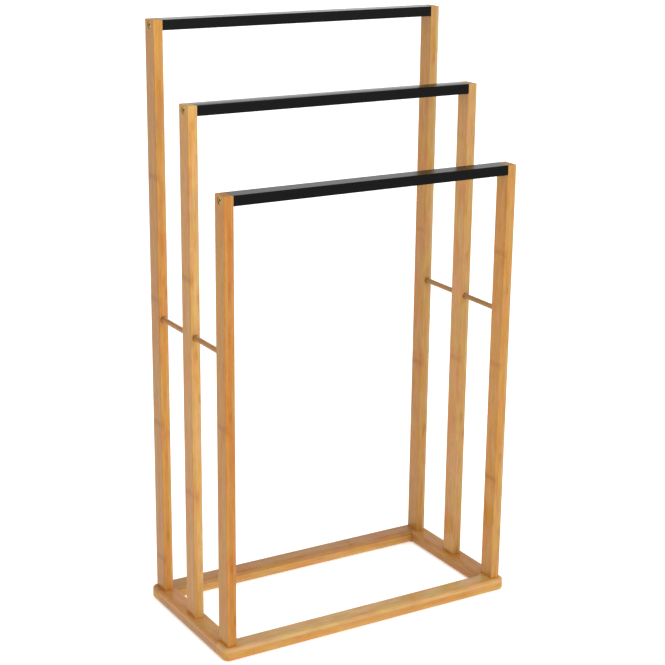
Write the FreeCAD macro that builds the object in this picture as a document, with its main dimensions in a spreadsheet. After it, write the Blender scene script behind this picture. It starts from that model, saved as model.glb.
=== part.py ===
import FreeCAD, Part
import os
import Sketcher
from FreeCAD import Placement, Rotation, Vector

# Free-standing towel rack in bamboo. Three frames of rising height stand one behind another
# on a flat rectangular base. Each frame is two posts and one black-lacquered bar.
# Millimetres. +X is the rack's right, +Y its back, +Z up.
# The origin is on the floor, under the middle of the base.

SIZES = {
    # whole rack
    "base_length": 501,
    "base_depth": 256,
    "rack_height": 900,
    "tier_step": 106,
    # base frame
    "rail_width": 30,
    "rail_thickness": 20,
    "rail_rounding": 4.5,
    "corner_radius": 10,
    # posts and bars
    "post_width": 15,
    "post_depth": 28,
    "post_end_inset": 7,
    "post_rounding": 1,
    "bar_thickness": 15,
    "bar_rounding": 0.8,
    # turned rods that tie the posts of one side together
    "spacer_diameter": 8,
    "spacer_height": 461,
    "spacer_socket": 8,
    "spacer_fit": 0.3,
    # countersunk hexagon-socket bolts and the sleeves they screw into
    "bolt_diameter": 6,
    "bolt_length": 40,
    "bolt_head_diameter": 11.5,
    "bolt_head_height": 3.3,
    "bolt_key": 4,
    "bolt_key_depth": 2.5,
    "bolt_recess": 1,
    "insert_diameter": 9,
    "insert_length": 15,
    # glued dowels
    "corner_dowel_diameter": 6,
    "corner_dowel_length": 30,
    "corner_dowel_edge": 5.5,
    "post_dowel_diameter": 5,
    "post_dowel_length": 24,
    "post_dowel_in_rail": 10,
    "post_dowel_edge": 4,
    "post_bolt_offset": 2,
    "dowel_chamfer": 0.5,
    # fits
    "clearance": 0.1,
    "end_gap": 1,
}

SIDES = {"left": -1, "right": 1}
ROWS = {"front": -1, "middle": 0, "rear": 1}
ENDS = {"front": -1, "rear": 1}

# Places that several pieces share, as expressions on the sheet.
SIDE_X = "(sizes.base_length - sizes.rail_width) / 2"
POST_INNER_X = "(sizes.base_length - sizes.rail_width - sizes.post_width) / 2"
POST_OUTER_X = "(sizes.base_length - sizes.rail_width + sizes.post_width) / 2"
WINDOW_LENGTH = "(sizes.base_length - 2 * sizes.rail_width)"
JOINT_Y = "(sizes.base_depth / 2 - sizes.rail_width)"
POST_PITCH = "(sizes.base_depth / 2 - sizes.post_end_inset - sizes.post_depth / 2)"

# Diameters of the holes, each a fit round the piece that goes in it.
BOLT_HOLE = "(sizes.bolt_diameter + 2 * sizes.clearance)"
HEAD_HOLE = "(sizes.bolt_head_diameter + 2 * sizes.clearance)"
INSERT_HOLE = "(sizes.insert_diameter + 2 * sizes.clearance)"
SPACER_HOLE = "(sizes.spacer_diameter + 2 * sizes.spacer_fit)"
CORNER_DOWEL_HOLE = "(sizes.corner_dowel_diameter + 2 * sizes.clearance)"
POST_DOWEL_HOLE = "(sizes.post_dowel_diameter + 2 * sizes.clearance)"

# Turns that lay a piece made along +Z along another direction.
TURNS = {
    "+x": Rotation(Vector(0, 1, 0), 90),
    "-x": Rotation(Vector(0, 1, 0), -90),
    "+y": Rotation(Vector(1, 0, 0), -90),
    "-y": Rotation(Vector(1, 0, 0), 90),
    "+z": Rotation(),
}
ORIGIN = ("0", "0", "0")
TOUCH = 1e-6

doc = FreeCAD.newDocument("towel_rack")
parts = []


# ---------------------------------------------------------------- places

def side_x(side, place=SIDE_X):
    return f"{SIDES[side]} * {place}"


def row_y(row):
    return f"({ROWS[row]} * {POST_PITCH})"


def post_top(row):
    return f"(sizes.rack_height - {1 - ROWS[row]} * sizes.tier_step)"


def bar_axis(row):
    return f"({post_top(row)} - sizes.bar_thickness / 2)"


def outward(row):
    """The way from the middle of the rack to a row, taken as forward for the middle row."""
    return 1 if row == "rear" else -1


def post_dowel_y(row):
    """The dowel stands near the face of the post that looks away from the rack's middle."""
    return f"({row_y(row)} + {outward(row)} * (sizes.post_depth / 2 - sizes.post_dowel_edge))"


def post_bolt_y(row):
    """The bolt stands a little to the other side of the post's centre."""
    return f"({row_y(row)} - {outward(row)} * sizes.post_bolt_offset)"


def inward(side):
    return "+x" if side == "left" else "-x"


def moved(start, direction, distance):
    """The point that lies a distance further along a direction."""
    sign, axis = direction
    point = list(start)
    index = "xyz".index(axis)
    point[index] = f"({point[index]} {sign} {distance})"
    return tuple(point)


# ---------------------------------------------------------------- document helpers

def make_sheet():
    sheet = doc.addObject("Spreadsheet::Sheet", "sizes")
    for row, (name, value) in enumerate(SIZES.items(), start=1):
        sheet.set(f"A{row}", name)
        sheet.set(f"B{row}", str(value))
        sheet.setAlias(f"B{row}", name)
    doc.recompute()


def bind(feature, **expressions):
    for name, expression in expressions.items():
        feature.setExpression(name, expression)


def put(piece, start, turn=TURNS["+z"]):
    """Turn a piece and tie the place of its base point to the sheet."""
    piece.Placement = Placement(Vector(), turn)
    for axis, expression in zip("xyz", start):
        piece.setExpression(f"Placement.Base.{axis}", expression)


def new_body(name):
    return doc.addObject("PartDesign::Body", name)


def sketch_on_floor(body, name):
    """An empty sketch on the body's own XY plane."""
    sketch = body.newObject("Sketcher::SketchObject", name)
    planes = {feature.Role: feature for feature in body.Origin.OriginFeatures}
    sketch.AttachmentSupport = (planes["XY_Plane"], [""])
    sketch.MapMode = "FlatFace"
    return sketch


def rectangle(body, name, length, depth):
    """A rectangle centred on the sketch's origin, its two sizes bound to the sheet."""
    sketch = sketch_on_floor(body, name)
    corners = [Vector(-1, -1, 0), Vector(1, -1, 0), Vector(1, 1, 0), Vector(-1, 1, 0)]
    for start, end in zip(corners, corners[1:] + corners[:1]):
        sketch.addGeometry(Part.LineSegment(start, end))
    for line in range(4):
        sketch.addConstraint(Sketcher.Constraint("Coincident", line, 2, (line + 1) % 4, 1))
    for line, kind in enumerate(("Horizontal", "Vertical", "Horizontal", "Vertical")):
        sketch.addConstraint(Sketcher.Constraint(kind, line))
    sketch.addConstraint(Sketcher.Constraint("Symmetric", 0, 1, 1, 2, -1, 1))
    for kind, line, size in (("DistanceX", 0, length), ("DistanceY", 1, depth)):
        index = sketch.addConstraint(Sketcher.Constraint(kind, line, 1, line, 2, 2.0))
        sketch.setExpression(f"Constraints[{index}]", size)
    return sketch


def disc(body, name, diameter):
    """A circle round the sketch's origin."""
    sketch = sketch_on_floor(body, name)
    sketch.addGeometry(Part.Circle(Vector(), Vector(0, 0, 1), 1))
    sketch.addConstraint(Sketcher.Constraint("Coincident", 0, 3, -1, 1))
    index = sketch.addConstraint(Sketcher.Constraint("Diameter", 0, 2.0))
    sketch.setExpression(f"Constraints[{index}]", diameter)
    return sketch


def pad(body, name, sketch, height):
    feature = body.newObject("PartDesign::Pad", name)
    feature.Profile = sketch
    bind(feature, Length=height)
    doc.recompute()
    return feature


def edges_where(feature, wanted):
    """Names of the edges whose bounding boxes pass a test."""
    names = []
    for number, edge in enumerate(feature.Shape.Edges, start=1):
        if wanted(edge.BoundBox):
            names.append(f"Edge{number}")
    return names


def dress(body, name, kind, feature, wanted, **sizes):
    """A fillet or chamfer on the edges that a test picks."""
    dressed = body.newObject(f"PartDesign::{kind}", name)
    dressed.Base = (feature, edges_where(feature, wanted))
    bind(dressed, **sizes)
    doc.recompute()
    return dressed


def is_level(box):
    return box.ZLength < TOUCH


def is_upright(box):
    return box.XLength < TOUCH and box.YLength < TOUCH


def runs_along_y(box):
    return box.XLength < TOUCH and box.ZLength < TOUCH


def runs_along_x(box):
    return box.YLength < TOUCH and box.ZLength < TOUCH


# ---------------------------------------------------------------- cutters

def cylinder(name, diameter, length, start, direction):
    tool = doc.addObject("Part::Cylinder", name)
    bind(tool, Radius=f"{diameter} / 2", Height=length)
    put(tool, start, TURNS[direction])
    return tool


def bolt_cutters(name, start, direction):
    """Recess, countersink and shank hole for one bolt, from the face that its head enters."""
    seat = moved(start, direction, "sizes.bolt_recess")
    recess = cylinder(f"{name}_recess", HEAD_HOLE, "sizes.bolt_recess", start, direction)
    sink = doc.addObject("Part::Cone", f"{name}_sink")
    bind(sink, Radius1=f"{HEAD_HOLE} / 2", Radius2=f"{BOLT_HOLE} / 2", Height="sizes.bolt_head_height")
    put(sink, seat, TURNS[direction])
    depth = "sizes.bolt_recess + sizes.bolt_length + sizes.end_gap"
    shank = cylinder(f"{name}_shank", BOLT_HOLE, depth, start, direction)
    return {"head": [recess, sink], "shank": [shank]}


def insert_seat(name, start, direction):
    """Blind hole for one threaded sleeve."""
    depth = "sizes.insert_length + sizes.end_gap"
    return cylinder(f"{name}_seat", INSERT_HOLE, depth, start, direction)


def edge_waste(name, end, level):
    """What is taken off the inner edge of a cross rail, between the side rails, to round it."""
    start_x = f"-{WINDOW_LENGTH} / 2"
    centre_y = f"{ENDS[end]} * ({JOINT_Y} + sizes.rail_rounding)"
    centre_z = "sizes.rail_rounding"
    block_y = JOINT_Y if end == "rear" else centre_y
    block_z = "0"
    if level == "top":
        centre_z = "sizes.rail_thickness - sizes.rail_rounding"
        block_z = centre_z
    block = doc.addObject("Part::Box", f"{name}_block")
    bind(block, Length=WINDOW_LENGTH, Width="sizes.rail_rounding", Height="sizes.rail_rounding")
    put(block, (start_x, block_y, block_z))
    centre = (start_x, centre_y, centre_z)
    nose = cylinder(f"{name}_nose", "2 * sizes.rail_rounding", WINDOW_LENGTH, centre, "+x")
    waste = doc.addObject("Part::Cut", name)
    waste.Base = block
    waste.Tool = nose
    return waste


def finish(piece, label, solids=1):
    """Name a finished sub-part and list it for export."""
    piece.Label = label
    parts.append((piece, solids))


def drill(label, blank, cutters, spare=()):
    """Cut a blank and list the result as a sub-part. Only the spare cutters may miss it."""
    doc.recompute()
    for cutter in cutters:
        if cutter.Shape.common(blank.Shape).Volume < TOUCH:
            raise RuntimeError(f"{cutter.Name} misses {label}")
    fused = doc.addObject("Part::MultiFuse", f"{label}_holes")
    fused.Shapes = [*cutters, *spare]
    cut = doc.addObject("Part::Cut", label)
    cut.Base = blank
    cut.Tool = fused
    finish(cut, label)


# Cutters that run through two pieces are made once and used on both, so that their holes line up.

def corner_dowel_x(side, number):
    offset = "(sizes.rail_width / 2 - sizes.corner_dowel_edge)"
    return f"({side_x(side)} {'-+'[number]} {offset})"


def make_corner_cutters(side, end):
    """Two dowel holes across the joint of one base corner."""
    length = "(sizes.corner_dowel_length + 2 * sizes.end_gap)"
    start_y = f"{ENDS[end]} * {JOINT_Y} - {length} / 2"
    return [
        cylinder(
            f"{side}_{end}_corner_hole_{number}",
            CORNER_DOWEL_HOLE,
            length,
            (corner_dowel_x(side, number), start_y, "sizes.rail_thickness / 2"),
            "+y",
        )
        for number in range(2)
    ]


def make_foot_cutters(side, row):
    """Holes for the bolt, the sleeve and the dowel at the foot of one post."""
    name = f"{side}_{row}_foot"
    cutters = bolt_cutters(name, (side_x(side), post_bolt_y(row), "0"), "+z")
    seat_place = (side_x(side), post_bolt_y(row), "sizes.rail_thickness")
    cutters["insert"] = [insert_seat(name, seat_place, "+z")]
    dowel_foot = "sizes.rail_thickness - sizes.post_dowel_in_rail - sizes.end_gap"
    cutters["dowel"] = [
        cylinder(
            f"{name}_dowel_hole",
            POST_DOWEL_HOLE,
            "sizes.post_dowel_length + 2 * sizes.end_gap",
            (side_x(side), post_dowel_y(row), dowel_foot),
            "+z",
        )
    ]
    return cutters


def make_bar_cutters(side, row):
    """Holes for the bolt and the sleeve at one end of a bar."""
    name = f"{side}_{row}_bar_end"
    outer_face = (side_x(side, POST_OUTER_X), row_y(row), bar_axis(row))
    bar_end = (side_x(side, POST_INNER_X), row_y(row), bar_axis(row))
    cutters = bolt_cutters(name, outer_face, inward(side))
    cutters["insert"] = [insert_seat(name, bar_end, inward(side))]
    return cutters


# ---------------------------------------------------------------- base frame

def rail_cutters(side, row):
    foot = foot_cutters[side, row]
    return foot["head"] + foot["shank"] + foot["dowel"]


def make_cross_rail(end):
    """Front or rear rail: full length, outer corners rounded in plan, outer edges rounded."""
    label = f"base_{end}_rail"
    body = new_body(f"{label}_blank")
    outline = rectangle(body, f"{label}_outline", "sizes.base_length", "sizes.rail_width")
    block = pad(body, f"{label}_block", outline, "sizes.rail_thickness")
    corners = dress(
        body, f"{label}_corners", "Fillet", block,
        lambda box: is_upright(box) and box.YMin < 0,
        Radius="sizes.corner_radius",
    )
    dress(
        body, f"{label}_edges", "Fillet", corners,
        lambda box: is_level(box) and not (runs_along_x(box) and box.YMin > 0),
        Radius="sizes.rail_rounding",
    )
    turn = Rotation(Vector(0, 0, 1), 180 if end == "rear" else 0)
    put(body, ("0", f"{ENDS[end]} * (sizes.base_depth - sizes.rail_width) / 2", "0"), turn)

    cutters = [edge_waste(f"{label}_{level}_waste", end, level) for level in ("top", "bottom")]
    for side in SIDES:
        cutters += corner_cutters[side, end] + rail_cutters(side, end)
    drill(label, body, cutters)


def make_side_rail(side):
    """Left or right rail: fits between the cross rails and carries the middle post."""
    label = f"base_{side}_rail"
    body = new_body(f"{label}_blank")
    outline = rectangle(body, f"{label}_outline", "sizes.rail_width", f"2 * {JOINT_Y}")
    block = pad(body, f"{label}_block", outline, "sizes.rail_thickness")
    dress(body, f"{label}_edges", "Fillet", block, runs_along_y, Radius="sizes.rail_rounding")
    put(body, (side_x(side), "0", "0"))
    cutters = rail_cutters(side, "middle")
    corner_posts = []
    for end in ENDS:
        cutters += corner_cutters[side, end]
        corner_posts += rail_cutters(side, end)
    drill(label, body, cutters, spare=corner_posts)


# ---------------------------------------------------------------- posts

def spacer_sockets(side, row):
    """Blind sockets in the faces of a post that look at its neighbours."""
    cutters = []
    for toward, direction in ((-1, "+y"), (1, "-y")):
        if abs(ROWS[row] + toward) > 1:
            continue
        face_y = f"({row_y(row)} + {toward} * sizes.post_depth / 2)"
        cutters.append(
            cylinder(
                f"{side}_{row}_socket_{len(cutters)}",
                SPACER_HOLE,
                "sizes.spacer_socket + sizes.clearance",
                (side_x(side), face_y, "sizes.spacer_height"),
                direction,
            )
        )
    return cutters


def make_post(side, row):
    label = f"{side}_{row}_post"
    body = new_body(f"{label}_blank")
    outline = rectangle(body, f"{label}_outline", "sizes.post_width", "sizes.post_depth")
    block = pad(body, f"{label}_block", outline, f"{post_top(row)} - sizes.rail_thickness")
    dress(
        body, f"{label}_edges", "Fillet", block,
        lambda box: is_upright(box) or box.ZMin > TOUCH,
        Radius="sizes.post_rounding",
    )
    put(body, (side_x(side), row_y(row), "sizes.rail_thickness"))
    foot = foot_cutters[side, row]
    bar_end = bar_cutters[side, row]
    cutters = foot["shank"] + foot["insert"] + foot["dowel"] + bar_end["head"] + bar_end["shank"]
    drill(label, body, cutters + spacer_sockets(side, row))


# ---------------------------------------------------------------- bars

def make_bar(row):
    """Bar of one frame: the posts' own section, between them, level with their tops."""
    label = f"{row}_bar"
    body = new_body(f"{label}_blank")
    outline = rectangle(body, f"{label}_outline", f"2 * {POST_INNER_X}", "sizes.post_depth")
    block = pad(body, f"{label}_block", outline, "sizes.bar_thickness")
    dress(body, f"{label}_edges", "Fillet", block, runs_along_x, Radius="sizes.bar_rounding")
    put(body, ("0", row_y(row), f"{post_top(row)} - sizes.bar_thickness"))
    cutters = []
    for side in SIDES:
        bar_end = bar_cutters[side, row]
        cutters += bar_end["shank"] + bar_end["insert"]
    drill(label, body, cutters)


# ---------------------------------------------------------------- rods, dowels and fasteners

def make_rod(name, diameter, length):
    """Round rod along +Z from the origin, both ends chamfered."""
    body = new_body(name)
    section = disc(body, f"{name}_section", diameter)
    block = pad(body, f"{name}_block", section, length)
    dress(body, f"{name}_ends", "Chamfer", block, is_level, Size="sizes.dowel_chamfer")
    return body


def make_bolt():
    """Countersunk bolt along +Z, the flat of its head at the origin, with a hexagon socket."""
    body = new_body("bolt")
    section = disc(body, "bolt_section", "sizes.bolt_diameter")
    shank = pad(body, "bolt_shank", section, "sizes.bolt_length")
    dress(
        body, "bolt_tip", "Chamfer", shank,
        lambda box: is_level(box) and box.ZMin > TOUCH,
        Size="sizes.dowel_chamfer",
    )
    head = body.newObject("PartDesign::AdditiveCone", "bolt_head")
    bind(
        head,
        Radius1="sizes.bolt_head_diameter / 2",
        Radius2="sizes.bolt_diameter / 2",
        Height="sizes.bolt_head_height",
    )
    doc.recompute()
    socket = body.newObject("PartDesign::SubtractivePrism", "bolt_socket")
    socket.Polygon = 6
    bind(socket, Circumradius="sizes.bolt_key / sqrt(3)", Height="sizes.bolt_key_depth")
    doc.recompute()
    if not socket.Shape.Volume < head.Shape.Volume:
        raise RuntimeError("the bolt's socket cuts nothing")
    return body


def make_insert():
    """Threaded sleeve along +Z, its open face at the origin."""
    length = "sizes.insert_length"
    sleeve = doc.addObject("Part::Cut", "insert")
    sleeve.Base = cylinder("insert_wall", "sizes.insert_diameter", length, ORIGIN, "+z")
    sleeve.Tool = cylinder("insert_bore", BOLT_HOLE, length, ORIGIN, "+z")
    return sleeve


def copies(label, master, places):
    """Several copies of one master piece, kept together as one sub-part."""
    links = []
    for number, (start, direction) in enumerate(places):
        link = doc.addObject("App::Link", f"{label}_{number}")
        link.LinkedObject = master
        put(link, start, TURNS[direction])
        links.append(link)
    group = doc.addObject("Part::Compound", label)
    group.Links = links
    finish(group, label, len(places))


def make_corner_dowels():
    dowel = make_rod("corner_dowel", "sizes.corner_dowel_diameter", "sizes.corner_dowel_length")
    places = []
    for side in SIDES:
        for end in ENDS:
            start_y = f"{ENDS[end]} * {JOINT_Y} - sizes.corner_dowel_length / 2"
            for number in range(2):
                start = (corner_dowel_x(side, number), start_y, "sizes.rail_thickness / 2")
                places.append((start, "+y"))
    copies("base_corner_dowels", dowel, places)


def make_spacers():
    """Rods between the posts of each side, one in front of the middle post and one behind."""
    length = f"{POST_PITCH} - sizes.post_depth + 2 * sizes.spacer_socket"
    for side in SIDES:
        for end, first in (("front", "front"), ("rear", "middle")):
            rod = make_rod(f"{side}_{end}_spacer", "sizes.spacer_diameter", length)
            start_y = f"{row_y(first)} + sizes.post_depth / 2 - sizes.spacer_socket"
            put(rod, (side_x(side), start_y, "sizes.spacer_height"), TURNS["+y"])
            finish(rod, f"{side}_{end}_spacer")


def make_bar_fasteners(bolt, insert):
    """Two bolts and two sleeves hold each bar between its posts."""
    for row in ROWS:
        bolt_places = []
        insert_places = []
        for side in SIDES:
            direction = inward(side)
            outer_face = (side_x(side, POST_OUTER_X), row_y(row), bar_axis(row))
            bar_end = (side_x(side, POST_INNER_X), row_y(row), bar_axis(row))
            bolt_places.append((moved(outer_face, direction, "sizes.bolt_recess"), direction))
            insert_places.append((bar_end, direction))
        copies(f"{row}_bar_bolts", bolt, bolt_places)
        copies(f"{row}_bar_inserts", insert, insert_places)


def make_post_fasteners(bolt, insert):
    """A bolt, a sleeve and a dowel hold the foot of each post on the base."""
    dowel = make_rod("post_dowel", "sizes.post_dowel_diameter", "sizes.post_dowel_length")
    for side in SIDES:
        bolts = [((side_x(side), post_bolt_y(row), "sizes.bolt_recess"), "+z") for row in ROWS]
        inserts = [((side_x(side), post_bolt_y(row), "sizes.rail_thickness"), "+z") for row in ROWS]
        dowel_foot = "sizes.rail_thickness - sizes.post_dowel_in_rail"
        dowels = [((side_x(side), post_dowel_y(row), dowel_foot), "+z") for row in ROWS]
        copies(f"{side}_post_bolts", bolt, bolts)
        copies(f"{side}_post_inserts", insert, inserts)
        copies(f"{side}_post_dowels", dowel, dowels)


# ---------------------------------------------------------------- checks and export

def check_document():
    for feature in doc.Objects:
        if "Invalid" in feature.State or "Error" in feature.State:
            raise RuntimeError(f"{feature.Name} did not compute: {feature.State}")
    for piece, solids in parts:
        shape = piece.Shape
        if shape.isNull() or not shape.isValid():
            raise RuntimeError(f"{piece.Label} has no valid shape")
        if len(shape.Solids) != solids:
            raise RuntimeError(f"{piece.Label} has {len(shape.Solids)} solids, not {solids}")


def export_parts():
    os.makedirs("parts", exist_ok=True)
    for piece, _ in parts:
        piece.Shape.exportStep(f"parts/{piece.Label}.step")


make_sheet()
posts = [(side, row) for side in SIDES for row in ROWS]
corners = [(side, end) for side in SIDES for end in ENDS]
corner_cutters = {place: make_corner_cutters(*place) for place in corners}
foot_cutters = {place: make_foot_cutters(*place) for place in posts}
bar_cutters = {place: make_bar_cutters(*place) for place in posts}
for rail_end in ENDS:
    make_cross_rail(rail_end)
for rail_side in SIDES:
    make_side_rail(rail_side)
make_corner_dowels()
for post_place in posts:
    make_post(*post_place)
for bar_row in ROWS:
    make_bar(bar_row)
make_spacers()
master_bolt = make_bolt()
master_insert = make_insert()
make_bar_fasteners(master_bolt, master_insert)
make_post_fasteners(master_bolt, master_insert)
doc.recompute()
check_document()
export_parts()
print(f"{len(parts)} sub-parts")
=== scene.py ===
"""The looks of a three-tier towel rack: laminated bamboo posts and base, black lacquered bars.

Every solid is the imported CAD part's own, shown as it is. This file gives each one its procedural
material, and sets the floor, the light and the camera. Patterns are worked out in millimetres
along each piece's own grain, so that strips, fibres and nodes run true on every face.
"""

import math

import bpy
from mathutils import Matrix, Vector


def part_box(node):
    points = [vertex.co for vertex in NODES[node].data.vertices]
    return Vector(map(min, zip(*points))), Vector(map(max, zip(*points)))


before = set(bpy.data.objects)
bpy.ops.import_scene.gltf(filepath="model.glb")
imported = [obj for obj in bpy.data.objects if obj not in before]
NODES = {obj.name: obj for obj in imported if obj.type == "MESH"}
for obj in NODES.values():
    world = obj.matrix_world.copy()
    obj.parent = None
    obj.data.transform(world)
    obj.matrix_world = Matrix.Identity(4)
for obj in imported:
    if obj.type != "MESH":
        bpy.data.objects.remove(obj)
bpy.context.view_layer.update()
MM = 1000.0  # millimetres in a metre


def add_object(name, data):
    """A new object in the scene."""
    made = bpy.data.objects.new(name, data)
    bpy.context.scene.collection.objects.link(made)
    return made


# ---------------------------------------------------------------- camera

CAMERA_PLACE = (-1.2203, -2.0383, 1.1513)
CAMERA_AZIMUTH = math.radians(30.928)  # of the view, from +Y towards +X
CAMERA_DIP = math.radians(16.862)
CAMERA_ROLL = math.radians(0.650)
CAMERA_LENS = 88.80
CAMERA_SENSOR = 36.0
CAMERA_CLIP_END = 100.0


def make_camera():
    """The camera at the reference viewing angle."""
    view = Vector(
        (
            math.sin(CAMERA_AZIMUTH) * math.cos(CAMERA_DIP),
            math.cos(CAMERA_AZIMUTH) * math.cos(CAMERA_DIP),
            -math.sin(CAMERA_DIP),
        )
    )
    level = view.cross(Vector((0, 0, 1))).normalized()
    upright = level.cross(view)
    right = level * math.cos(CAMERA_ROLL) + upright * math.sin(CAMERA_ROLL)
    up = upright * math.cos(CAMERA_ROLL) - level * math.sin(CAMERA_ROLL)
    data = bpy.data.cameras.new("camera")
    data.lens = CAMERA_LENS
    data.sensor_width = CAMERA_SENSOR
    data.clip_end = CAMERA_CLIP_END
    camera = add_object("camera", data)
    turn = Matrix((right, up, -view)).transposed().to_4x4()
    camera.matrix_world = Matrix.Translation(CAMERA_PLACE) @ turn
    bpy.context.scene.camera = camera


make_camera()

# ---------------------------------------------------------------- node helpers


def linear(value):
    """One sRGB channel of 0 to 255 as linear light."""
    value /= 255.0
    if value <= 0.04045:
        return value / 12.92
    return ((value + 0.055) / 1.055) ** 2.4


def srgb(red, green, blue):
    """An sRGB colour of 0 to 255 as linear RGBA."""
    return (linear(red), linear(green), linear(blue), 1.0)


class Graph:
    """A material's node tree, with short ways to add nodes.

    Inputs are numbers, tuples or sockets.
    """

    def __init__(self, name):
        self.material = bpy.data.materials.new(name)
        self.material.use_nodes = True
        self.tree = self.material.node_tree
        self.tree.nodes.clear()
        output = self.tree.nodes.new("ShaderNodeOutputMaterial")
        self.shader = self.tree.nodes.new("ShaderNodeBsdfPrincipled")
        self.tree.links.new(self.shader.outputs["BSDF"], output.inputs["Surface"])

    def put(self, socket, value):
        """A link where value is a socket, else the socket's own constant."""
        if isinstance(value, bpy.types.NodeSocket):
            self.tree.links.new(value, socket)
        else:
            socket.default_value = value

    def node(self, kind, inputs=(), **settings):
        """A new node of that kind, with its settings and inputs, by name or number."""
        made = self.tree.nodes.new(kind)
        for key, value in settings.items():
            setattr(made, key, value)
        for key, value in dict(inputs).items():
            self.put(made.inputs[key], value)
        return made

    def math(self, operation, *values):
        """A number from one, two or three numbers."""
        made = self.node("ShaderNodeMath", dict(enumerate(values)), operation=operation)
        return made.outputs[0]

    def vector(self, operation, *values):
        """A vector from one or two vectors."""
        made = self.node("ShaderNodeVectorMath", dict(enumerate(values)), operation=operation)
        return made.outputs[0]

    def split(self, vector):
        """The three numbers of a vector."""
        return self.node("ShaderNodeSeparateXYZ", {0: vector}).outputs

    def join(self, *values):
        """A vector of three numbers."""
        return self.node("ShaderNodeCombineXYZ", dict(enumerate(values))).outputs[0]

    def ramp(self, value, low, high, to_low=0.0, to_high=1.0):
        """value from low to high, turned smoothly into to_low to to_high."""
        made = self.node(
            "ShaderNodeMapRange",
            {0: value, 1: low, 2: high, 3: to_low, 4: to_high},
            interpolation_type="SMOOTHSTEP",
        )
        return made.outputs[0]

    def noise(self, place, detail=2.0, roughness=0.5, distortion=0.0):
        """Smooth noise of about 0 to 1 at a place that is already scaled."""
        made = self.node(
            "ShaderNodeTexNoise",
            {
                "Vector": place,
                "Scale": 1.0,
                "Detail": detail,
                "Roughness": roughness,
                "Distortion": distortion,
            },
        )
        return made.outputs[0]

    def place(self, middle=(0.0, 0.0, 0.0)):
        """Where a point is in the row frame, in millimetres from a middle that is in metres."""
        world = self.node("ShaderNodeTexCoord").outputs["Object"]
        return self.vector("MULTIPLY", self.vector("SUBTRACT", world, tuple(middle)), (MM, MM, MM))

    def mix(self, share, first, second, blend="MIX"):
        """A colour between two colours."""
        made = self.node(
            "ShaderNodeMix",
            {"Factor": share, 6: first, 7: second},
            data_type="RGBA",
            blend_type=blend,
        )
        return made.outputs[2]

    def random(self, value):
        """Three random numbers of 0 to 1 from one number."""
        made = self.node("ShaderNodeTexWhiteNoise", {"W": value}, noise_dimensions="1D")
        return self.node("ShaderNodeSeparateColor", {0: made.outputs["Color"]}).outputs

    def bump(self, height, depth, under=None):
        """A surface direction raised by height, which is 0 to 1, times depth in metres."""
        inputs = {"Strength": 1.0, "Distance": depth, "Height": height}
        if under is not None:
            inputs["Normal"] = under
        return self.node("ShaderNodeBump", inputs).outputs[0]

    def finish(self, **values):
        """Sets the shader's own sockets, given with _ for each space, and returns the material."""
        for key, value in values.items():
            self.put(self.shader.inputs[key.replace("_", " ")], value)
        return self.material


def dress(name, material):
    """Gives a CAD node its material."""
    for slot in NODES[name].material_slots:
        slot.material = material


def patterns(g, place, table):
    """The noises of a table: each one's scale on the three axes, then its detail and the rest."""
    return {
        key: g.noise(g.vector("MULTIPLY", place, scale), *settings)
        for key, (scale, *settings) in table.items()
    }


def middle_and_half(name):
    """The middle of a CAD node's box, in metres, and half its size, in millimetres."""
    low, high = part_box(name)
    return (low + high) / 2, (high - low) / 2 * MM


# ---------------------------------------------------------------- bamboo

# Tints that a wood colour is multiplied by, in linear light.
WARMER = (1.00, 0.82, 0.56, 1.0)
YELLOWER = (1.02, 1.12, 0.90, 1.0)
PINKER = (1.06, 0.96, 1.26, 1.0)
PALER = (1.12, 1.17, 1.28, 1.0)
DARKER = (0.84, 0.80, 0.76, 1.0)
FIBRE = (0.80, 0.70, 0.56, 1.0)
NODE_TINT = (0.60, 0.47, 0.33, 1.0)
GLUE_TINT = (0.74, 0.66, 0.54, 1.0)
# The socket tint is dark glue and painted contact shadow round the rods.
SOCKET_GLUE_AND_SHADOW_TINT = (0.50, 0.34, 0.16, 1.0)
# The foot tint is painted reflection of the posts and painted shade round their feet.
FOOT_REFLECTION_AND_SHADE_TINT = (1.14, 0.90, 0.44, 1.0)
# The end tint is the end grain's own greyer tone and painted sheen.
END_GRAIN_AND_SHEEN_TINT = (0.80, 0.96, 1.50, 1.0)

# Noise patterns: the scale along the fibres, across a strip and through the layers, per millimetre,
# then the noise's detail and, where they aren't the usual ones, its roughness and distortion.
BAMBOO_PATTERNS = {
    "slow": ((0.010, 0.045, 0.02), 2.0),
    "tint": ((0.021, 0.06, 0.05), 1.0),
    "cloud": ((0.033, 0.12, 0.12), 2.0),
    "streak": ((0.009, 0.50, 0.50), 3.0, 0.55, 0.15),
    "fine": ((0.05, 2.4, 2.4), 2.0, 0.6),
    "dash": ((0.11, 3.4, 3.4), 0.0),
    "ragged": ((0.02, 0.70, 0.70), 2.0),
}
# A pattern's tints: the two values between which the tint changes, its share at each, and the tint.
PATTERN_TINTS = (
    ("slow", (0.47, 0.62, 0.0, 0.60), WARMER),
    ("tint", (0.52, 0.66, 0.0, 0.60), YELLOWER),
    ("tint", (0.34, 0.48, 0.60, 0.0), PINKER),
    ("cloud", (0.52, 0.66, 0.0, 0.42), DARKER),
    ("cloud", (0.34, 0.48, 0.42, 0.0), PALER),
    ("streak", (0.50, 0.66, 0.0, 0.60), WARMER),
    ("streak", (0.34, 0.48, 0.50, 0.0), PALER),
    ("fine", (0.50, 0.70, 0.0, 0.40), FIBRE),
    ("fine", (0.30, 0.46, 0.30, 0.0), PALER),
    ("dash", (0.64, 0.74, 0.0, 0.55), FIBRE),
)

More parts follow.
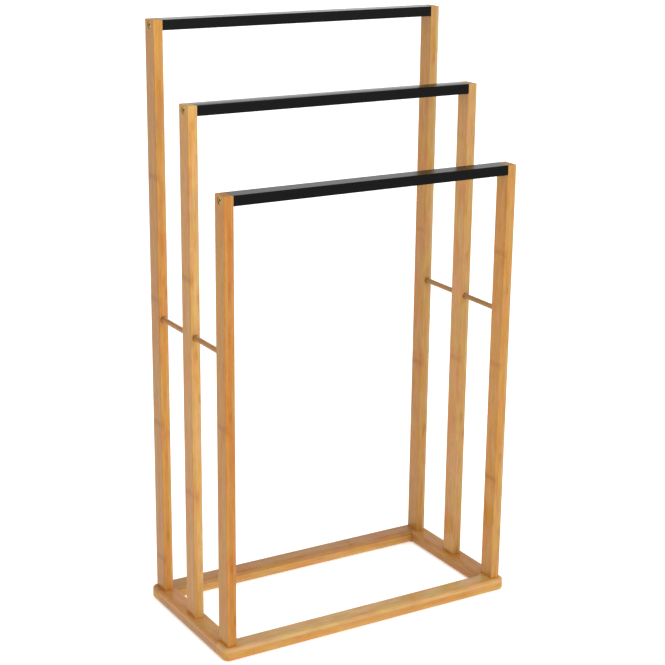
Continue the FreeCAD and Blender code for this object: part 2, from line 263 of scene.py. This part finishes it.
# Layers.
LAYER_MARGIN = 0.01  # keeps a point on an outer face in its layer, as a share of a layer
LAYER_SHIFT = 37.0  # how far apart in the patterns two layers are, per unit of their random number
LAYER_JUMP = 60.0  # how many times further apart they are along the fibres than across them
SEED_JUMP = 3.1  # how far apart in the patterns two pieces are, per unit of their seeds
GLUE_LINE = (0.012, 0.05)  # a glue line's core and its fading, as shares of a layer
GLUE_SHARE = 0.40

# Nodes of the culm, in millimetres.
NODE_SPACING = 260.0  # between a layer's nodes, on average
NODE_SHIFT = 0.5  # the share of the spacing that they are moved within at random
NODE_BOW = 0.006  # rise of a node's line per square millimetre from the strip's middle
NODE_RAGGED = 7.0  # unevenness of its line
NODE_BAND = (0.6, 7.0)  # its dark core and its fading
NODE_HALO = (5.0, 26.0)  # the warmer wood round it
SCAR_PLACE = 1.8  # from the node's line to its thin scar
SCAR_LINE = (0.3, 1.3)  # the scar's core and its fading
SCAR_BREAKS = (0.38, 0.62)  # the fine pattern's values between which the scar comes in
NODE_LEAST, NODE_RANDOM = 0.5, 0.6  # strength of the faintest node, and how much more is random
LAYER_START = 11.0  # spacings by which two layers' nodes are apart, per unit of a random number
LAYER_KEY, CELL_KEY = 5.1, 1.37  # these tell layers and stretches of the spacing apart
EDGE_STRETCH = 0.45  # how much nearer a node seems on the layers' edges, which draws it out
BAND_SHARE, SCAR_SHARE, HALO_SHARE = 0.50, 0.30, 0.30
EDGE_FADE = 0.20  # how much less of the band and of the scar shows on the layers' edges

# Places on a piece, in millimetres.
EDGE_SKIN = (0.2, 2.0)  # under a side where the layers' edges show
FLAT_SKIN = (0.1, 0.9)  # under a flat face between which its colour gives way
ROUNDED = (0.5, 2.4)  # from both faces at a rounded edge
ROUNDED_SHARE = 0.20
END_SKIN = 0.3  # from a piece's end within which a point is on its end grain
ROD_EDGE = 0.2  # from a rod's skin to the full strength of the glue and painted shadow round it
SOCKET_RING = 2.0  # from a rod's skin to the end of the glue and painted shadow
SOCKET_SHARE = 0.75
FOOT_RING = 7.0  # from a post's foot to the end of the painted reflection and shade round it

# Varnish: roughness and what adds to it, and relief in metres.
GLOSS = 0.11
CLOUD_GLOSS, FINE_GLOSS, BAND_GLOSS, ROUNDED_GLOSS = 0.08, 0.04, 0.08, -0.03
END_GLOSS = 0.45  # the end grain drinks the varnish
FINE_RELIEF, STREAK_RELIEF, NODE_RELIEF = 0.000008, 0.00003, 0.00008
VARNISH_IOR = 1.28


def nearest(g, place, heights):
    """How far place is from the nearest of the heights."""
    reach = None
    for height in heights:
        step = g.math("ABSOLUTE", g.math("SUBTRACT", place, height))
        reach = step if reach is None else g.math("MINIMUM", reach, step)
    return reach


def away_from(g, world, low, high):
    """How far a point is from the middle of a box along each axis."""
    return g.vector("ABSOLUTE", g.vector("SUBTRACT", world, tuple((low + high) / 2)))


def socket_glue_and_shadow(g, world, name):
    """Dark glue and painted contact shadow round the places where a side's rods enter this post, as
    0 to 1.
    """
    side = name.split("_")[0]
    shade = None
    for rod in (f"{side}_front_spacer", f"{side}_rear_spacer"):
        low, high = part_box(rod)
        radius = (high - low).x / 2
        x, y, z = g.split(away_from(g, world, low, high))
        across = g.math("SQRT", g.math("MULTIPLY_ADD", x, x, g.math("MULTIPLY", z, z)))
        ring = g.ramp(across, radius + ROD_EDGE / MM, radius + SOCKET_RING / MM, 1.0, 0.0)
        ring = g.math("MULTIPLY", ring, g.math("LESS_THAN", y, (high - low).y / 2))
        shade = ring if shade is None else g.math("MAXIMUM", shade, ring)
    return shade


def foot_reflection_and_shade(g, world, name):
    """Painted reflection of the posts that stand on this rail and painted shade round their feet,
    as 0 to 1.
    """
    place = name.split("_")[1]
    shade = None
    for post in (node for node in NODES if node.endswith("_post") and place in node.split("_")):
        low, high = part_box(post)
        away = g.vector("SUBTRACT", away_from(g, world, low, high), tuple((high - low) / 2))
        away = g.vector("MAXIMUM", away, (0.0, 0.0, 0.0))
        reach = g.node("ShaderNodeVectorMath", {0: away}, operation="LENGTH").outputs["Value"]
        ring = g.ramp(reach, 0.0, FOOT_RING / MM, 1.0, 0.0)
        shade = ring if shade is None else g.math("MAXIMUM", shade, ring)
    return shade


def glue_lines(g, level, layers):
    """The thin lines between the layers, as 0 to 1, which the two outer faces don't have."""
    line = g.math("ABSOLUTE", g.math("SUBTRACT", level, g.math("ROUND", level)))
    line = g.ramp(line, *GLUE_LINE, 1.0, 0.0)
    above = g.math("GREATER_THAN", level, 0.5)
    below = g.math("LESS_THAN", level, layers - 0.5)
    return g.math("MULTIPLY", line, g.math("MULTIPLY", above, below))


def node_reach(g, length, width, layer, own, seed, ragged, nodes):
    """How far a point is from its layer's nearest node, in millimetres.

    Each node's line is bowed and ragged. nodes are the first layer's, measured from the piece's
    middle. Where there are none, and in the other layers, each stretch of the spacing has one at a
    random place, worked out from the layer's own random numbers.
    """
    bow = g.math("MULTIPLY", g.math("MULTIPLY", width, width), NODE_BOW)
    bow = g.math("ADD", bow, g.math("MULTIPLY_ADD", ragged, NODE_RAGGED, -NODE_RAGGED / 2))
    start = g.math("MULTIPLY", own[1], LAYER_START)
    run = g.math("MULTIPLY_ADD", length, 1 / NODE_SPACING, start)
    cell = g.math("FLOOR", run)
    key = g.math("MULTIPLY_ADD", layer, LAYER_KEY, seed)
    pick = g.random(g.math("MULTIPLY_ADD", cell, CELL_KEY, key))
    off = g.math("SUBTRACT", g.math("SUBTRACT", run, cell), 0.5)
    off = g.math("SUBTRACT", off, g.math("MULTIPLY_ADD", pick[0], NODE_SHIFT, -NODE_SHIFT / 2))
    reach = g.math("ABSOLUTE", g.math("MULTIPLY_ADD", off, NODE_SPACING, bow))
    if nodes:
        listed = nearest(g, g.math("ADD", length, bow), nodes)
        first = g.math("LESS_THAN", layer, 0.5)
        change = g.math("MULTIPLY", first, g.math("SUBTRACT", listed, reach))
        reach = g.math("ADD", reach, change)
    return reach, g.math("MULTIPLY_ADD", pick[1], NODE_RANDOM, NODE_LEAST)


def layer_tone(g, level, tones):
    """The tone of the layer that a point is in, each with a sharp start."""
    stops = g.node("ShaderNodeValToRGB", {0: g.math("MULTIPLY", level, 1 / len(tones))})
    stops.color_ramp.interpolation = "CONSTANT"
    elements = stops.color_ramp.elements
    for number, tone in enumerate(tones):
        start = number / len(tones)
        stop = elements[number] if number < len(elements) else elements.new(start)
        stop.position = start
        stop.color = srgb(*tone)
    return stops.outputs[0]


def bamboo(name, grain_axes, tones, seed, nodes=(), flat_tone=None, marks=1.0, matt=0.0, foot=0.0):
    """Laminated bamboo for one piece.

    grain_axes are the axes of the fibres, of a strip's width and of the stacked layers. tones are
    the layers' colours, from the low side of the stack to the high one, and flat_tone is that of
    the outer layers' flat faces, where it isn't their edges', with painted shade where darker.
    nodes are where the first layer's nodes are along the piece, in millimetres of the row frame;
    the other layers' are random. marks scales the nodes, matt is added to the roughness, and foot
    is how strong the painted reflection and painted shade round the posts' feet are on a rail.
    """
    along, across, stack = grain_axes
    middle, half = middle_and_half(name)
    g = Graph("bamboo_" + name)
    world = g.node("ShaderNodeTexCoord").outputs["Object"]
    axes = g.split(g.place(middle))
    length, width, depth = axes[along], axes[across], axes[stack]

    # Layers: which one a point is in, and three random numbers of its own.
    layers = len(tones)
    level = g.math("MULTIPLY_ADD", depth, layers / (2 * half[stack]), layers / 2)
    layer = g.math("MINIMUM", g.math("MAXIMUM", level, LAYER_MARGIN), layers - LAYER_MARGIN)
    layer = g.math("FLOOR", layer)
    own = g.random(g.math("ADD", layer, seed))

    # Patterns: each layer gets its own piece of the noise.
    shift = g.math("MULTIPLY", own[0], LAYER_SHIFT)
    far = g.math("MULTIPLY", shift, LAYER_JUMP)
    jump = g.join(far, shift, g.math("ADD", shift, seed * SEED_JUMP))
    grain = g.vector("ADD", g.join(length, width, depth), jump)
    pattern = patterns(g, grain, BAMBOO_PATTERNS)

    # Places: under a side, under a flat face, on a rounded edge, which is near both, and on an end.
    near_side = g.math("SUBTRACT", half[across], g.math("ABSOLUTE", width))
    near_face = g.math("SUBTRACT", half[stack], g.math("ABSOLUTE", depth))
    from_end = g.math("SUBTRACT", half[along], g.math("ABSOLUTE", length))
    on_edges = g.ramp(near_side, *EDGE_SKIN, 1.0, 0.0)
    rounded = g.ramp(g.math("MAXIMUM", near_side, near_face), *ROUNDED, 1.0, 0.0)
    end_grain = g.ramp(from_end, 0.0, END_SKIN, 1.0, 0.0)

    # Nodes: a soft dark band across each layer with a thin broken scar beside it, in warmer wood.
    # On the layers' edges they are drawn out along the fibres.
    offsets = [node - middle[along] * MM for node in nodes]
    reach, strength = node_reach(g, length, width, layer, own, seed, pattern["ragged"], offsets)
    strength = g.math("MULTIPLY", strength, marks)
    reach = g.math("MULTIPLY", reach, g.math("MULTIPLY_ADD", on_edges, -EDGE_STRETCH, 1.0))
    band = g.math("MULTIPLY", g.ramp(reach, *NODE_BAND, 1.0, 0.0), strength)
    scar = g.math("ABSOLUTE", g.math("SUBTRACT", reach, SCAR_PLACE))
    scar = g.ramp(scar, *SCAR_LINE, 1.0, 0.0)
    scar = g.math("MULTIPLY", scar, g.ramp(pattern["fine"], *SCAR_BREAKS))
    scar = g.math("MULTIPLY", scar, strength)
    halo = g.ramp(reach, *NODE_HALO, 1.0, 0.0)

    # Colour.
    colour = layer_tone(g, level, tones)
    # the flat faces' colour, which carries painted shade on the left posts
    if flat_tone:
        colour = g.mix(g.ramp(near_face, *FLAT_SKIN, 1.0, 0.0), colour, srgb(*flat_tone))
    tints = [(g.ramp(pattern[key], *change), tint) for key, change, tint in PATTERN_TINTS]
    band_share = g.math("MULTIPLY_ADD", on_edges, -EDGE_FADE, BAND_SHARE)
    scar_share = g.math("MULTIPLY_ADD", on_edges, -EDGE_FADE, SCAR_SHARE)
    tints += [
        (g.math("MULTIPLY", halo, HALO_SHARE), WARMER),
        (g.math("MULTIPLY", band, band_share), NODE_TINT),
        (g.math("MULTIPLY", scar, scar_share), NODE_TINT),
        (g.math("MULTIPLY", glue_lines(g, level, layers), GLUE_SHARE), GLUE_TINT),
        (g.math("MULTIPLY", rounded, ROUNDED_SHARE), PALER),
    ]
    if name.endswith("_post"):
        # dark glue and painted contact shadow round the rods' sockets
        shade = g.math("MULTIPLY", socket_glue_and_shadow(g, world, name), on_edges)
        tints.append((g.math("MULTIPLY", shade, SOCKET_SHARE), SOCKET_GLUE_AND_SHADOW_TINT))
        # end grain: its own greyer tone and painted sheen
        tints.append((end_grain, END_GRAIN_AND_SHEEN_TINT))
    elif name.endswith("_rail"):
        # painted reflection of the posts and painted shade round their feet
        tints.append((g.math("MULTIPLY", foot_reflection_and_shade(g, world, name), foot), FOOT_REFLECTION_AND_SHADE_TINT))
    for share, tint in tints:
        colour = g.mix(share, colour, tint, "MULTIPLY")

    # Gloss and relief of the varnish over the fibres.
    gloss = g.math("MULTIPLY_ADD", pattern["cloud"], CLOUD_GLOSS, GLOSS + matt)
    gloss = g.math("MULTIPLY_ADD", pattern["fine"], FINE_GLOSS, gloss)
    gloss = g.math("MULTIPLY_ADD", band, BAND_GLOSS, gloss)
    gloss = g.math("MULTIPLY_ADD", rounded, ROUNDED_GLOSS, gloss)
    gloss = g.math("MULTIPLY_ADD", end_grain, END_GLOSS, gloss)
    raised = g.bump(pattern["fine"], FINE_RELIEF)
    raised = g.bump(pattern["streak"], STREAK_RELIEF, raised)
    raised = g.bump(g.math("ADD", band, scar), NODE_RELIEF, raised)
    return g.finish(Base_Color=colour, Roughness=gloss, Normal=raised, IOR=VARNISH_IOR)


X, Y, Z = 0, 1, 2
# Grain axes: of the fibres, of a strip's width and of the stacked layers.
UPRIGHT, CROSSWISE, BACKWARDS = (Z, Y, X), (X, Y, Z), (Y, X, Z)

# How a layer's colour differs from its piece's own tone, in levels of 0 to 255.
STRIPS = {
    "own": (0, 0, 0),
    "light": (5, 6, 5),
    "pale": (0, 6, 10),
    "palest": (0, 10, 20),
    "straw": (5, 14, 24),
    "bright": (20, 15, 12),
    "dark": (-20, -18, 0),
}
# Each post's tone, its layers from the left, its flat faces' colour, darker on the left posts as
# painted shade, and the heights of its left layer's nodes.
POSTS = {
    "left_front_post": ((170, 114, 50), ("light", "own", "pale"), (165, 115, 38), (355,)),
    "left_middle_post": ((192, 147, 85), ("own", "light", "pale"), (170, 121, 55), (547, 220)),
    "left_rear_post": (
        (185, 130, 60),
        ("pale", "own", "palest"),
        (160, 112, 45),
        (675, 490, 296, 74),
    ),
    "right_front_post": ((173, 128, 65), ("own", "own", "palest"), (182, 131, 62), (553, 376, 189)),
    "right_middle_post": ((176, 136, 80), ("own", "own", "pale"), (184, 137, 78), (357,)),
    "right_rear_post": ((170, 130, 73), ("own", "own", "straw"), (172, 124, 65), (544, 320)),
}
# Each rail's tone, its layers from the bottom, and how strong the painted reflection and shade
# round the posts' feet is.
CROSS_RAILS = {
    "base_front_rail": ((180, 135, 72), ("light", "own", "straw"), 0.8),
    "base_rear_rail": ((182, 138, 75), ("light", "own", "dark"), 0.8),
}
SIDE_RAILS = {
    "base_left_rail": ((160, 117, 65), ("light", "own", "bright"), 0.8),
    "base_right_rail": ((165, 118, 62), ("light", "own", "light"), 0.5),
}
SPACERS = sorted(name for name in NODES if name.endswith("_spacer"))
SPACER_TONE = (155, 115, 65)
SPACER_MATT = 0.25  # how much rougher the rods are
RAIL_MARKS = 0.4  # how strong the rails' nodes are beside the posts'
POST_SEED, CROSS_RAIL_SEED, SIDE_RAIL_SEED, SPACER_SEED = 3.0, 61.0, 81.0, 101.0
SEED_STEP = 7.0  # between two pieces of a kind


def layer_tones(tone, strips):
    """The colours of a piece's layers."""
    return [tuple(level + step for level, step in zip(tone, STRIPS[strip])) for strip in strips]


for number, (name, (tone, strips, flat, nodes)) in enumerate(POSTS.items()):
    seed = POST_SEED + SEED_STEP * number
    dress(name, bamboo(name, UPRIGHT, layer_tones(tone, strips), seed, nodes, flat))
for rails, grain_axes, first_seed in (
    (CROSS_RAILS, CROSSWISE, CROSS_RAIL_SEED),
    (SIDE_RAILS, BACKWARDS, SIDE_RAIL_SEED),
):
    for number, (name, (tone, strips, foot)) in enumerate(rails.items()):
        tones, seed = layer_tones(tone, strips), first_seed + SEED_STEP * number
        dress(name, bamboo(name, grain_axes, tones, seed, marks=RAIL_MARKS, foot=foot))
for number, name in enumerate(SPACERS):
    seed = SPACER_SEED + SEED_STEP * number
    dress(name, bamboo(name, BACKWARDS, (SPACER_TONE,), seed, marks=0.0, matt=SPACER_MATT))

# ---------------------------------------------------------------- black lacquer

LACQUER_PATTERNS = {
    "fine": ((0.03, 1.6, 1.6), 2.0),  # the bamboo's fibres under the lacquer
    "peel": ((0.9, 0.9, 0.9), 1.0),  # the spray's fine waves
    "cloud": ((0.01, 0.06, 0.06), 2.0),
}
FIBRE_SHOWS = (0.35, 0.70)  # the fine pattern's values between which a fibre comes in
FIBRE_LIGHTER = (6, 5, 5)  # levels, of 0 to 255, that it is lighter by
RUBBED = srgb(46, 43, 40)
RUBBED_EDGE = (0.2, 1.1)  # millimetres from both faces at a rubbed edge
RUBBED_WHERE = (0.45, 0.70)  # the cloud's values between which the rubbing comes in
RUBBED_SHARE = 0.4
LACQUER_GLOSS, LACQUER_CLOUD_GLOSS, LACQUER_FINE_GLOSS = 0.12, 0.10, 0.04
LACQUER_RELIEF = 0.00002  # metres, of the fibres and of the waves
LACQUER_IOR = 1.17
LACQUER_SEED_STEP = 13.0
# Each bar's black level, which differs from bar to bar as painted light and shade, and its crown.
LACQUERS = {"front_bar": (0, 0.0), "middle_bar": (5, 0.55), "rear_bar": (10, 0.0)}


def lacquer(name, black, crown, seed):
    """Satin black lacquer sprayed on bamboo: the grain shows faintly through, edges are rubbed.

    black is the level, of 0 to 255, of its colour, which differs from bar to bar as painted light
    and shade, and crown is how far, in millimetres, the skin stands up along the middle of the top.
    """
    middle, half = middle_and_half(name)
    g = Graph("lacquer_" + name)
    place = g.place(middle)
    axes = g.split(place)
    pattern = patterns(g, g.vector("ADD", place, (seed, seed, seed)), LACQUER_PATTERNS)
    near_side = g.math("SUBTRACT", half[Y], g.math("ABSOLUTE", axes[Y]))
    near_face = g.math("SUBTRACT", half[Z], g.math("ABSOLUTE", axes[Z]))
    edge = g.ramp(g.math("MAXIMUM", near_side, near_face), *RUBBED_EDGE, 1.0, 0.0)
    rub = g.math("MULTIPLY", edge, g.ramp(pattern["cloud"], *RUBBED_WHERE))
    fibre = srgb(*(black + lighter for lighter in FIBRE_LIGHTER))
    colour = g.mix(g.ramp(pattern["fine"], *FIBRE_SHOWS), srgb(black, black, black), fibre)
    colour = g.mix(g.math("MULTIPLY", rub, RUBBED_SHARE), colour, RUBBED)
    gloss = g.math("MULTIPLY_ADD", pattern["cloud"], LACQUER_CLOUD_GLOSS, LACQUER_GLOSS)
    gloss = g.math("MULTIPLY_ADD", pattern["fine"], LACQUER_FINE_GLOSS, gloss)
    raised = g.bump(pattern["fine"], LACQUER_RELIEF)
    raised = g.bump(pattern["peel"], LACQUER_RELIEF, raised)
    share = g.math("MULTIPLY", axes[Y], 1 / half[Y])
    bowed = g.math("SUBTRACT", 1.0, g.math("MULTIPLY", share, share))
    raised = g.bump(bowed, crown / MM, raised)
    return g.finish(Base_Color=colour, Roughness=gloss, Normal=raised, IOR=LACQUER_IOR)


for number, (name, (black, crown)) in enumerate(LACQUERS.items()):
    dress(name, lacquer(name, black, crown, LACQUER_SEED_STEP * number))

# ---------------------------------------------------------------- metal and beech

METAL_PATTERNS = {
    "cloud": ((0.35, 0.35, 0.35), 3.0),
    "grime": ((0.8, 0.8, 0.8), 4.0, 0.6),
    "mark": ((6.0, 1.2, 1.2), 1.0),
}
DULLING = (0.38, 0.62)  # the cloud's values between which the dull colour comes in
GRIME = (0.56, 0.72, 0.0, 0.6)  # the same for the grime, then its share at each
METAL_CLOUD_GLOSS, GRIME_GLOSS = 0.16, 0.10
METAL_RELIEF = 0.00001  # metres
# Each metal's bright, dull and dark colours, its least roughness and its seed.
METALS = {
    "bolt_zinc": (srgb(184, 160, 88), srgb(150, 132, 76), srgb(62, 50, 28), 0.30, 5.0),
    "insert_brass": (srgb(214, 176, 96), srgb(190, 150, 78), srgb(112, 84, 44), 0.22, 31.0),
}


def metal(name):
    """Plated or bare metal: cloudy tint, fine turning marks and darker grime in patches."""
    bright, dull, dark, roughness, seed = METALS[name]
    g = Graph(name)
    pattern = patterns(g, g.vector("ADD", g.place(), (seed, seed, seed)), METAL_PATTERNS)
    colour = g.mix(g.ramp(pattern["cloud"], *DULLING), bright, dull)
    colour = g.mix(g.ramp(pattern["grime"], *GRIME), colour, dark)
    gloss = g.math("MULTIPLY_ADD", pattern["cloud"], METAL_CLOUD_GLOSS, roughness)
    gloss = g.math("MULTIPLY_ADD", pattern["grime"], GRIME_GLOSS, gloss)
    raised = g.bump(pattern["mark"], METAL_RELIEF)
    return g.finish(Base_Color=colour, Metallic=1.0, Roughness=gloss, Normal=raised)


BEECH_PATTERNS = {"grain": ((0.9, 0.9, 0.12), 2.0), "rays": ((2.6, 2.6, 0.7), 0.0)}
BEECH_PALE, BEECH_DARK, BEECH_RAY = srgb(214, 180, 140), srgb(196, 156, 114), srgb(150, 108, 72)
BEECH_GRAIN = (0.35, 0.65)  # the grain's values between which the dark colour comes in
BEECH_RAYS = (0.60, 0.70, 0.0, 0.5)  # the same for the rays, then their share at each
BEECH_GLOSS, BEECH_GRAIN_GLOSS = 0.55, 0.1
BEECH_RELIEF = 0.00004  # metres


def beech():
    """Plain beech of the dowels, with short darker rays."""
    g = Graph("beech_dowel")
    pattern = patterns(g, g.place(), BEECH_PATTERNS)
    colour = g.mix(g.ramp(pattern["grain"], *BEECH_GRAIN), BEECH_PALE, BEECH_DARK)
    colour = g.mix(g.ramp(pattern["rays"], *BEECH_RAYS), colour, BEECH_RAY)
    gloss = g.math("MULTIPLY_ADD", pattern["grain"], BEECH_GRAIN_GLOSS, BEECH_GLOSS)
    raised = g.bump(pattern["grain"], BEECH_RELIEF)
    return g.finish(Base_Color=colour, Roughness=gloss, Normal=raised)


FITTINGS = {
    "_bolts": metal("bolt_zinc"),
    "_inserts": metal("insert_brass"),
    "_dowels": beech(),
}
for name in NODES:
    for ending, material in FITTINGS.items():
        if name.endswith(ending):
            dress(name, material)

# ---------------------------------------------------------------- floor and light

WHITE = (1.0, 1.0, 1.0, 1.0)
FLOOR_HALF = 12.0
FLOOR_DROP = 0.0002  # keeps the floor just clear of the base's underside
FLOOR_TONES = ((0.965, 0.965, 0.965, 1.0), (0.975, 0.975, 0.975, 1.0))
FLOOR_CLOUD = (1.5, 1.5, 1.5)  # scale of the pattern between the two tones, per metre
FLOOR_ROUGHNESS, FLOOR_SPECULAR = 0.9, 0.2
FLOOR_GLOW = 0.34  # the floor is a light table, which keeps the shadows faint


def make_floor():
    """A plain pale studio floor."""
    mesh = bpy.data.meshes.new("floor")
    corners = [(-1, -1), (1, -1), (1, 1), (-1, 1)]
    mesh.from_pydata(
        [(x * FLOOR_HALF, y * FLOOR_HALF, -FLOOR_DROP) for x, y in corners], [], [(0, 1, 2, 3)]
    )
    floor = add_object("floor", mesh)
    g = Graph("floor_white")
    place = g.node("ShaderNodeTexCoord").outputs["Object"]
    cloud = g.noise(g.vector("MULTIPLY", place, FLOOR_CLOUD))
    mesh.materials.append(
        g.finish(
            Base_Color=g.mix(cloud, *FLOOR_TONES),
            Roughness=FLOOR_ROUGHNESS,
            Specular_IOR_Level=FLOOR_SPECULAR,
            Emission_Color=WHITE,
            Emission_Strength=FLOOR_GLOW,
        )
    )


KEY_PLACE, KEY_TARGET = (0.9, -4.7, 2.2), (0.0, 0.0, 0.45)
KEY_SIZE = 2.6
KEY_ENERGY = 95.0
OVERHEAD_STRENGTH = 1.4
OVERHEAD_SPREAD = math.radians(50)


def make_lights():
    """A large square softbox in front, and a wide light from overhead."""
    softbox = bpy.data.lights.new("key", "AREA")
    softbox.shape = "SQUARE"
    softbox.size = KEY_SIZE
    softbox.energy = KEY_ENERGY
    key = add_object("key", softbox)
    key.location = KEY_PLACE
    aim = Vector(KEY_TARGET) - Vector(KEY_PLACE)
    key.rotation_euler = aim.to_track_quat("-Z", "Y").to_euler()
    overhead = bpy.data.lights.new("overhead", "SUN")
    overhead.energy = OVERHEAD_STRENGTH
    overhead.angle = OVERHEAD_SPREAD
    add_object("overhead", overhead)


# The walls' radiance at the horizon and above it, and the share of it left at the zenith. The
# heights are on a unit sphere, and between each two the walls blend.
HORIZON, WALL, ZENITH_SHARE = 1.25, 0.98, 0.45
HORIZON_HEIGHTS = (0.09, 0.21)
ZENITH_HEIGHTS = (0.30, 0.75)


def make_walls():
    """White walls all round that darken upwards."""
    world = bpy.data.worlds.new("studio")
    world.use_nodes = True
    nodes, links = world.node_tree.nodes, world.node_tree.links
    height = nodes.new("ShaderNodeSeparateXYZ")
    links.new(nodes.new("ShaderNodeTexCoord").outputs["Generated"], height.inputs[0])
    strength = nodes.new("ShaderNodeMath")
    strength.operation = "MULTIPLY"
    blends = ((HORIZON_HEIGHTS, HORIZON, WALL), (ZENITH_HEIGHTS, 1.0, ZENITH_SHARE))
    for number, (heights, below, above) in enumerate(blends):
        blend = nodes.new("ShaderNodeMapRange")
        blend.interpolation_type = "SMOOTHSTEP"
        for slot, value in enumerate((*heights, below, above), start=1):
            blend.inputs[slot].default_value = value
        links.new(height.outputs[2], blend.inputs[0])
        links.new(blend.outputs[0], strength.inputs[number])
    background = nodes["Background"]
    background.inputs["Color"].default_value = WHITE
    links.new(strength.outputs[0], background.inputs["Strength"])
    bpy.context.scene.world = world


make_floor()
make_walls()
make_lights()
bpy.context.scene.view_settings.view_transform = "Standard"
